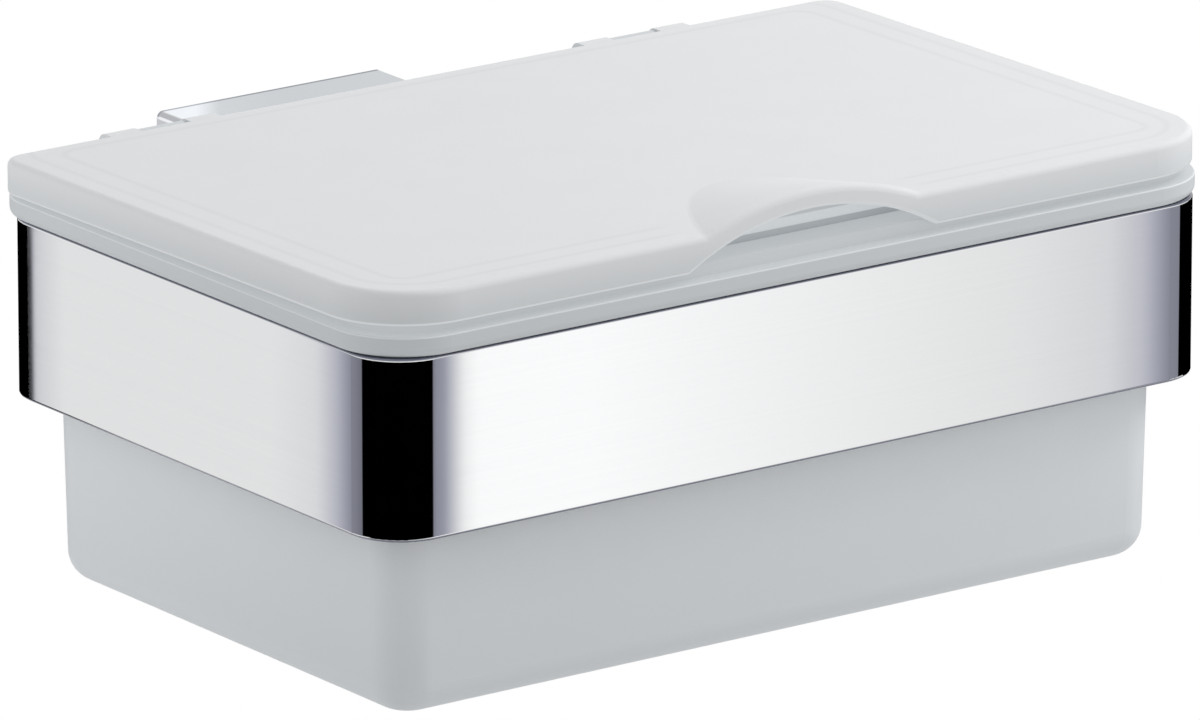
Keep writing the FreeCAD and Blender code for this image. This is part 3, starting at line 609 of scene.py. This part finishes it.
# %% The white tent
SKY_ABOVE = 0.70
SKY_BELOW = 0.62
SKY_LOW = -0.35
SKY_HIGH = 0.45
WHITE = (1, 1, 1, 1)


def seen_directly(start):
    """1 for rays of the camera, mirrors and glass, 0 for light that spreads."""
    first = start.node("ShaderNodeLightPath", output="Is Camera Ray")
    paths = first.output.node.outputs
    glossy = Socket(start.tree, paths["Is Glossy Ray"])
    through = Socket(start.tree, paths["Is Transmission Ray"])
    return (first + glossy + through).under(1.0)


world = bpy.data.worlds.new("tent")
world.use_nodes = True
bpy.context.scene.world = world
start = Socket(world.node_tree)
rise = start.node("ShaderNodeTexCoord", output="Generated").parts()[2]
strength = SKY_BELOW + (SKY_ABOVE - SKY_BELOW) * rise.eased(SKY_LOW, SKY_HIGH)
light = start.node("ShaderNodeBackground", None, {"Color": WHITE, "Strength": strength})
shown = start.node("ShaderNodeBackground", None, {"Color": WHITE, "Strength": 1.0})
sky = seen_directly(start).chosen(light, shown)
sky.feed(world.node_tree.nodes["World Output"], "Surface")
print("tent strength from", SKY_BELOW, "to", SKY_ABOVE)

# %% [markdown]
# ## The floor
#
# The floor lies well below the box, because the box hangs on a wall and throws no shadow near itself.
# It is pale and matt and sends some light up to the walls of the tub. From below it is clear, so that
# the underside of the box can be looked at too.

# %% The floor
FLOOR_DROP = 0.35
FLOOR_HALF = 2.0
FLOOR_GREY = (0.80, 0.80, 0.80, 1)
SQUARE = ((-1, -1), (1, -1), (1, 1), (-1, 1))


def stage_finish(name):
    """A material for a stage piece, a socket to start its nodes from, and the node it ends in."""
    material = bpy.data.materials.new(name)
    material.use_nodes = True
    return material, Socket(material.node_tree), material.node_tree.nodes["Material Output"]


def flat_square(name, half, height):
    """A level square of a given half width at a given height, with its mesh."""
    mesh = bpy.data.meshes.new(name)
    mesh.from_pydata([(x * half, y * half, height) for x, y in SQUARE], [], [(0, 1, 2, 3)])
    piece = bpy.data.objects.new(name, mesh)
    bpy.context.scene.collection.objects.link(piece)
    return piece, mesh


floor, floor_mesh = flat_square("floor", FLOOR_HALF, cad_low.z - FLOOR_DROP)
pale, start, end = stage_finish("pale_floor")
matt = start.node("ShaderNodeBsdfDiffuse", None, {"Color": FLOOR_GREY})
glow = start.node("ShaderNodeEmission", None, {"Color": WHITE, "Strength": 1.0})
from_above = seen_directly(start).chosen(matt, glow)
clear = start.node("ShaderNodeBsdfTransparent")
back = start.node("ShaderNodeNewGeometry", output="Backfacing")
back.chosen(from_above, clear).feed(end, "Surface")
floor_mesh.materials.append(pale)
print("floor", round(FLOOR_DROP / MM), "mm below the tub")

# %% [markdown]
# ## The lamps
#
# A tent alone leaves the box flat. A soft key lamp stands high to the right. Two small weak lamps
# stand close by, one in front on the right and one behind on the left, and make the far ends of both
# walls lighter than the near corner. Mirrors don't see the lamps, so no lamp shows on the band.
# Each lamp has its stand, its width in metres and its power in watts.

# %% The lamps
LAMPS = {
    "key_lamp": (Vector((0.63, -0.335, 0.60)), 0.40, 3.2),
    "right_lamp": (Vector((0.22, -0.34, -0.04)), 0.10, 0.058),
    "left_lamp": (Vector((-0.28, 0.06, -0.03)), 0.10, 0.12),
}

for name, (stand, width, watts) in LAMPS.items():
    lamp = bpy.data.objects.new(name, bpy.data.lights.new(name, "AREA"))
    lamp.data.size = width
    lamp.data.energy = watts
    lamp.location = stand
    lamp.rotation_euler = (LOOK_AT - stand).to_track_quat("-Z", "Y").to_euler()
    lamp.visible_glossy = False
    bpy.context.scene.collection.objects.link(lamp)
    print(name, watts, "W")

# %% [markdown]
# ## The screen that the metal mirrors
#
# A polished band in a white tent looks like white paper. In a studio, dark cloth is set round such
# a piece, with gaps where white should show on a face. Here the cloth is one low round screen that
# only mirrors see. It stands close to the band, so that each face meets a part of its own. A ray from
# the camera is bounced off the band with the usual mirror formula, which gives the place where it
# meets the screen as a share of the full turn. The turn starts at a seam behind, where no face is
# mirrored, so the front lies a little past its half. A corner is known by the middle of its rounding.

# %% Where the camera meets the screen
SCREEN_RADIUS = 0.25
FRONT_AT = 0.6
FRONT = Vector((0, -1, 0))
LEFT = Vector((-1, 0, 0))

ring_middle = (ring_low + ring_high) / 2
near_corner = Vector((ring_low.x + BAND_CORNER, ring_low.y + BAND_CORNER, 0))
far_corner = Vector((ring_high.x - BAND_CORNER, ring_low.y + BAND_CORNER, 0))
back_corner = Vector((ring_low.x + BAND_CORNER, ring_high.y - BAND_CORNER, 0))


def mirrored_turn(point, normal):
    """Where on the round screen the camera is led by a mirror: a turn from 0 to 1."""
    ray = (point - camera.location).normalized()
    bounced = ray - 2 * ray.dot(normal) * normal
    start = (point - ring_middle).to_2d()
    way = bounced.to_2d().normalized()
    inward = start.dot(way)
    reach = -inward + math.sqrt(inward ** 2 - start.length_squared + SCREEN_RADIUS ** 2)
    met = start + way * reach
    return (math.atan2(met.x, -met.y) / math.tau + FRONT_AT) % 1


def corner_turn(corner, degrees):
    """The same for a round corner, where it has turned so many degrees from the front."""
    turned = math.radians(degrees)
    sideways = math.copysign(math.sin(turned), corner.x)
    normal = Vector((sideways, -math.cos(turned), 0))
    return mirrored_turn(corner + BAND_CORNER * normal, normal)


print("left end of the front meets the screen at", round(corner_turn(near_corner, 0), 3))

# %% [markdown]
# ## The tones of the band
#
# The front is bright near the camera and falls off softly to the right, the left side is an even
# pale grey, and the round corners are black, as dark cloth makes them. A few stops are enough for
# each: millimetres along a flat face or degrees round a corner, with the tone that the band should
# have there. The screen has to be a little brighter than that, because metal sends back only a share.
# The back corner starts a hair past the end of the left side, so that their two parts don't overlap.

# %% The tones of the band
METAL_SHARE = 0.91
FRONT_TONES = (
    (-84.5, 0.25), (-82.5, 0.30), (-78, 0.85), (-75, 0.95), (-50, 0.95),
    (50, 0.74), (70, 0.66), (78, 0.52), (84.5, 0.25),
)
LEFT_TONES = (
    (-163, 0.25), (-158, 0.48), (-152, 0.68), (-138, 0.74),
    (-70, 0.74), (-60, 0.60), (-59.5, 0), (-58, 0),
)
NEAR_CORNER_TONES = ((0, 0.25), (4.5, 0.22), (5, 0), (74.3, 0), (75, 0.16), (90, 0.25))
FAR_CORNER_TONES = ((0, 0.25), (13, 0.22), (13.5, 0), (60, 0))
BACK_CORNER_TONES = ((90.001, 0), (120, 0))

faces = (
    [(mirrored_turn(Vector((x * MM, ring_low.y, 0)), FRONT), tone) for x, tone in FRONT_TONES],
    [(mirrored_turn(Vector((ring_low.x, y * MM, 0)), LEFT), tone) for y, tone in LEFT_TONES],
    [(corner_turn(near_corner, degrees), tone) for degrees, tone in NEAR_CORNER_TONES],
    [(corner_turn(far_corner, degrees), tone) for degrees, tone in FAR_CORNER_TONES],
    [(corner_turn(back_corner, degrees), tone) for degrees, tone in BACK_CORNER_TONES],
)
for face in faces:
    print("part of the turn:", round(min(face)[0], 3), "to", round(max(face)[0], 3))

# %% [markdown]
# ## Hanging the screen
#
# The screen is an open hoop round the band, lower than it, because the camera looks down. One colour
# ramp over the whole turn is too coarse for the flat faces, which take up only a sliver of it. So
# each face has a ramp over its own part. Where no face needs the cloth, it is clear and the white
# tent shows, and its upper and lower hems fade out. Dark tones are a little bluish, as on real plating.

# %% The hoop
SCREEN_BOTTOM = -0.13
SCREEN_LOW = -0.105
SCREEN_HIGH = -0.02
SCREEN_TOP = -0.008
SCREEN_STEPS = 96

screen_mesh = bpy.data.meshes.new("mirror_screen")
hoop = bmesh.new()
bmesh.ops.create_cone(hoop, cap_ends=False, segments=SCREEN_STEPS, radius1=SCREEN_RADIUS,
                      radius2=SCREEN_RADIUS, depth=SCREEN_TOP - SCREEN_BOTTOM)
hoop.to_mesh(screen_mesh)
hoop.free()
screen = bpy.data.objects.new("mirror_screen", screen_mesh)
screen.location = (ring_middle.x, ring_middle.y, (SCREEN_BOTTOM + SCREEN_TOP) / 2)
bpy.context.scene.collection.objects.link(screen)
print("hoop of", len(screen_mesh.polygons), "faces")

# %% The cloth
COOL_DARK = (0.94, 0.96, 1.16, 1)
COOL_FULL = 0.25
COOL_END = 0.85


def face_tone(turn, tones):
    """The tones of one face over its own part of the turn, 0 outside it, and 1 or 0 for the part."""
    tones = sorted(tones)
    first = tones[0][0]
    length = tones[-1][0] - first
    share = (turn - first) * (1 / length)
    stops = [((place - first) / length, tone / METAL_SHARE) for place, tone in tones]
    ramp = share.node("ShaderNodeValToRGB", {"stops": stops}, {"Fac": share})
    part = share.maths("GREATER_THAN", share, 0.0) * share.maths("LESS_THAN", share, 1.0)
    return ramp * part, part


def mirrors_only(piece):
    """A stage piece that shows in mirrors and nowhere else."""
    piece.visible_camera = False
    piece.visible_diffuse = False
    piece.visible_shadow = False
    piece.visible_transmission = False


cloth, start, end = stage_finish("screen_cloth")
across, along, height = start.node("ShaderNodeTexCoord", output="Object").parts()
turn = across.maths("ARCTAN2", across, -1 * along) * (1 / math.tau) + FRONT_AT
turn = turn.maths("FRACT", turn)
tone, covered = face_tone(turn, faces[0])
for face in faces[1:]:
    more, part = face_tone(turn, face)
    tone = tone + more
    covered = covered.over(part)
cool = tone.eased(COOL_FULL, COOL_END).between(COOL_DARK, WHITE)
cloth_glow = tone.node("ShaderNodeEmission", None, {"Color": cool.stretched(tone), "Strength": 1.0})
clear = tone.node("ShaderNodeBsdfTransparent")
lower_hem = height.eased(SCREEN_BOTTOM - screen.location.z, SCREEN_LOW - screen.location.z)
upper_hem = 1 - height.eased(SCREEN_HIGH - screen.location.z, SCREEN_TOP - screen.location.z)
solid = covered * lower_hem * upper_hem
solid.chosen(clear, cloth_glow).feed(end, "Surface")
screen_mesh.materials.append(cloth)
mirrors_only(screen)
print("cloth with", len(cloth.node_tree.nodes), "nodes")

# %% [markdown]
# ## A card for the bracket
#
# The flat top of the bracket mirrors one small part of the tent, high behind the box. A grey card
# stands there, white at its left end and darker to the right, so the bracket parts from the white
# background and its far edge can be read. The same mirror formula says where the card has to stand.

# %% The card
CARD_AWAY = 0.5
CARD_HALF = 0.06
CARD_MIDDLE = 0.5
CARD_TONES = ((-40, 0.95), (-20, 1.0), (-15, 0.72), (0, 0.68), (30, 0.70), (34, 0.40))
CARD_COOL = (0.96, 0.99, 1.02)
FROM_WALL = 5 * MM
UP = Vector((0, 0, 1))

bracket_top = Vector((0, bracket_high.y - FROM_WALL, bracket_high.z))
bounced = (bracket_top - camera.location).normalized().reflect(UP)
card, card_mesh = flat_square("grey_card", CARD_HALF, 0)
card.location = bracket_top + bounced * CARD_AWAY
card.rotation_euler = (-bounced).to_track_quat("Z", "Y").to_euler()
grey, start, end = stage_finish("card_grey")
across = start.node("ShaderNodeTexCoord", output="Object").parts()[0]
share = across * (1 / (2 * CARD_HALF)) + CARD_MIDDLE
stops = [(x * MM / (2 * CARD_HALF) + CARD_MIDDLE, tone) for x, tone in CARD_TONES]
tone = share.node("ShaderNodeValToRGB", {"stops": stops}, {"Fac": share})
card_glow = tone.node("ShaderNodeEmission", None, {"Color": tone.stretched(CARD_COOL), "Strength": 1.0})
card_glow.feed(end, "Surface")
card_mesh.materials.append(grey)
mirrors_only(card)
print("card at", [round(part, 3) for part in card.location])
